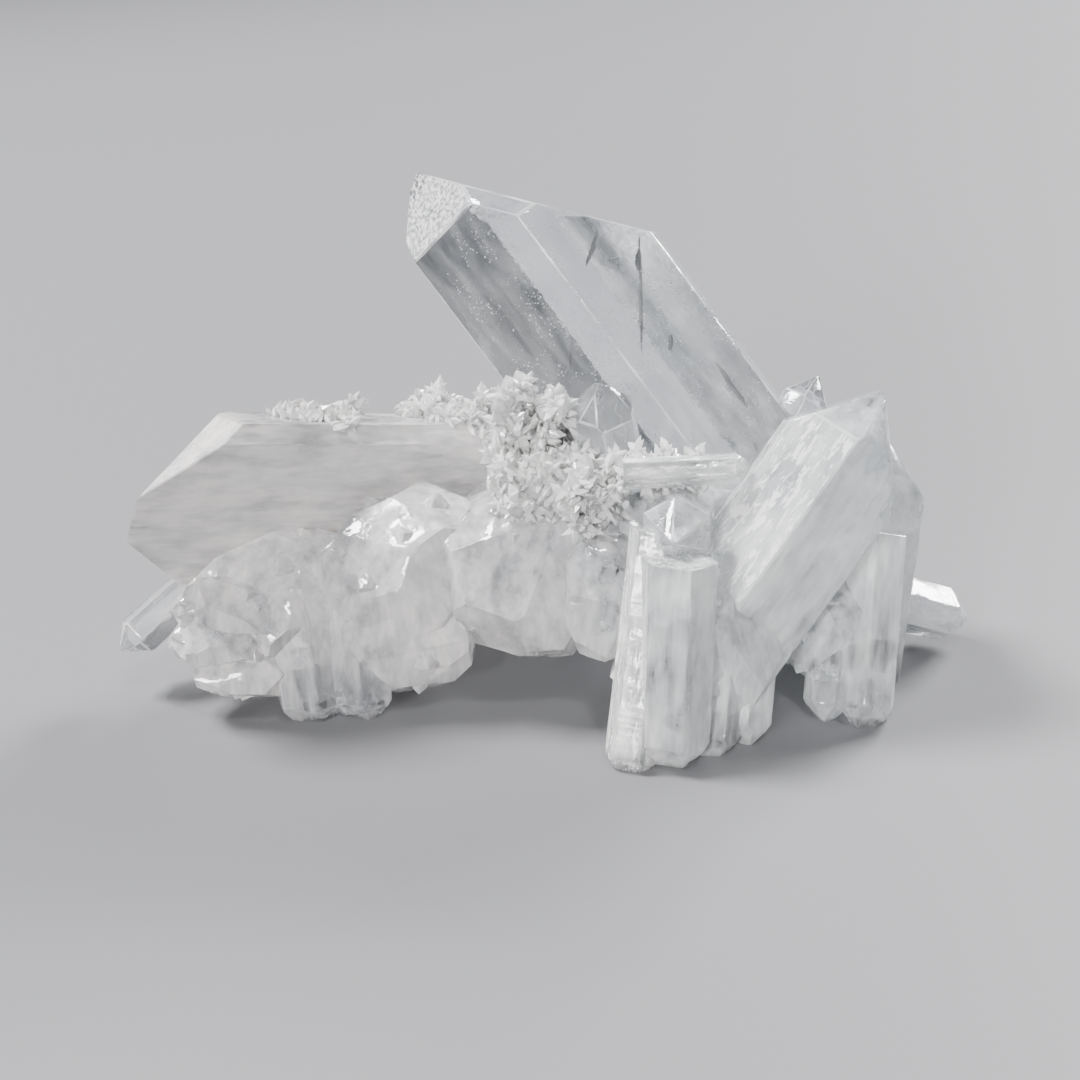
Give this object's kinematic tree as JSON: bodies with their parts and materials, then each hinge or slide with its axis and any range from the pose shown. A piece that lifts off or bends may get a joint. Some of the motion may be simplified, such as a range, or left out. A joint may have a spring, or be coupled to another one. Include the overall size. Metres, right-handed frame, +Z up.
{
  "type": "quartz crystal cluster",
  "caption": "Free-standing cluster of grown-together clear and milky quartz crystals with flat faces, a sugary crust between them and feet to rest on.",
  "frame": {"origin": "centre of the bounding box on the surface that the cluster rests on", "axes": "+X to the right along the long way, -Y to the side that the picture shows, +Z up"},
  "size_m": [0.1016, 0.0554, 0.0552],
  "materials": {
    "quartz": "clear to milky natural quartz, glossy on grown faces, sugary or etched on others"
  },
  "bodies": {
    "root": {"quartz_cluster": "quartz"}
  },
  "joints": []
}
